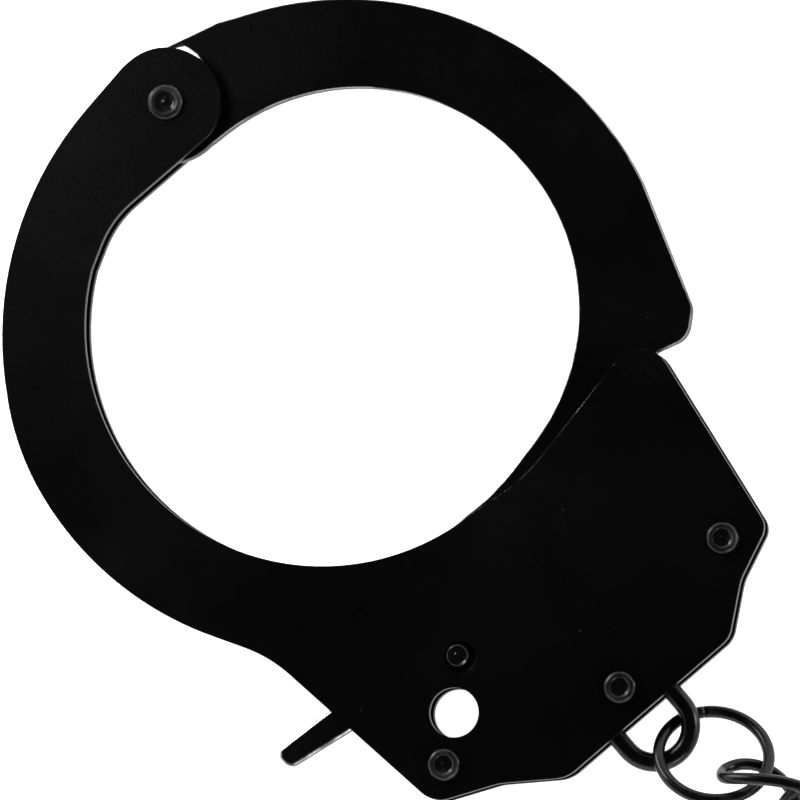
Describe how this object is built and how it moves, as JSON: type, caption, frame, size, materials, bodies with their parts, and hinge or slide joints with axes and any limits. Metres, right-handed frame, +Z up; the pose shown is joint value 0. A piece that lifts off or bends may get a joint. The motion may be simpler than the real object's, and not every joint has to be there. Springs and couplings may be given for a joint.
{
  "type": "handcuffs",
  "caption": "Black ratchet handcuffs with plate cheeks, swinging toothed bows, release levers, riveted lock housings and a short chain of rings and a twisted link.",
  "frame": {"origin": "under the middle of the chain, on the plane that the back rivet heads lie on", "axes": "+X from the left cuff to the right cuff along the pair, +Y across the pair, +Z up out of the front cheeks"},
  "size_m": [0.2232, 0.0842, 0.0102],
  "materials": {
    "black_plate": "matt black coat with fine grain, bare bright-looking edges",
    "black_bow": "matt black coat, glossier on the edges",
    "black_pawl": "satin black",
    "black_rivet": "gloss black with worn rims",
    "black_wire": "gloss black",
    "steel_spacer": "turned steel",
    "spring_steel": "drawn spring steel"
  },
  "bodies": {
    "left_cuff": {"left_front_cheek": "black_plate", "left_back_cheek": "black_plate", "left_pivot_rivet": "black_rivet", "left_nose_rivet": "black_rivet", "left_chain_rivet": "black_rivet", "left_heel_rivet": "black_rivet", "left_nose_spacer": "steel_spacer", "left_heel_spacer": "steel_spacer", "left_pawl_pin": "black_pawl", "left_pawl_spring": "spring_steel"},
    "left_bow_body": {"left_bow": "black_bow"},
    "left_pawl_body": {"left_pawl": "black_pawl"},
    "left_swivel_body": {"left_swivel_ring": "black_wire"},
    "left_chain_ring_body": {"left_chain_ring": "black_wire"},
    "right_cuff": {"right_front_cheek": "black_plate", "right_back_cheek": "black_plate", "right_pivot_rivet": "black_rivet", "right_nose_rivet": "black_rivet", "right_chain_rivet": "black_rivet", "right_heel_rivet": "black_rivet", "right_nose_spacer": "steel_spacer", "right_heel_spacer": "steel_spacer", "right_pawl_pin": "black_pawl", "right_pawl_spring": "spring_steel"},
    "right_bow_body": {"right_bow": "black_bow"},
    "right_pawl_body": {"right_pawl": "black_pawl"},
    "right_swivel_body": {"right_swivel_ring": "black_wire"},
    "right_chain_ring_body": {"right_chain_ring": "black_wire"},
    "twisted_link_body": {"twisted_link": "black_wire"}
  },
  "joints": [
    {"name": "left_bow_hinge", "type": "hinge", "parent": "left_cuff", "child": "left_bow_body", "pos_m": [-0.10535, -0.00175, 0.00365], "axis": [0, 0, 1], "range_deg": [0, 200]},
    {"name": "left_pawl_hinge", "type": "hinge", "parent": "left_cuff", "child": "left_pawl_body", "pos_m": [-0.0352, -0.0172, 0.00365], "axis": [0, 0, 1], "range_deg": [-6, 4.4], "deforming": ["left_pawl_spring"]},
    {"name": "right_bow_hinge", "type": "hinge", "parent": "right_cuff", "child": "right_bow_body", "pos_m": [0.10535, 0.00175, 0.00365], "axis": [0, 0, 1], "range_deg": [0, 200]},
    {"name": "right_pawl_hinge", "type": "hinge", "parent": "right_cuff", "child": "right_pawl_body", "pos_m": [0.0352, 0.0172, 0.00365], "axis": [0, 0, 1], "range_deg": [-6, 4.4], "deforming": ["right_pawl_spring"]},
    {"name": "left_swivel_turn", "type": "hinge", "parent": "left_cuff", "child": "left_swivel_body", "pos_m": [-0.0203, -0.0054, 0.00365], "axis": [0, 0, 1], "range_deg": [-20, 20]},
    {"name": "left_ring_slide", "type": "hinge", "parent": "left_swivel_body", "child": "left_chain_ring_body", "pos_m": [-0.0146, -0.0054, 0.00365], "axis": [0, 0, -1], "range_deg": [-15, 15]},
    {"name": "link_on_left_ring", "type": "hinge", "parent": "left_chain_ring_body", "child": "twisted_link_body", "pos_m": [-0.0076, -0.0024, 0.00444], "axis": [-0.3388, 0.4803, 0.809], "range_deg": [-15, 15]},
    {"name": "link_on_right_ring", "type": "hinge", "parent": "twisted_link_body", "child": "right_chain_ring_body", "pos_m": [0.0076, 0.0024, 0.00444], "axis": [-0.3388, 0.4803, -0.809], "range_deg": [-15, 15]},
    {"name": "right_ring_slide", "type": "hinge", "parent": "right_chain_ring_body", "child": "right_swivel_body", "pos_m": [0.0146, 0.0054, 0.00365], "axis": [0, 0, 1], "range_deg": [-15, 15]},
    {"name": "right_swivel_turn", "type": "hinge", "parent": "right_swivel_body", "child": "right_cuff", "pos_m": [0.0203, 0.0054, 0.00365], "axis": [0, 0, -1], "range_deg": [-20, 20]}
  ]
}
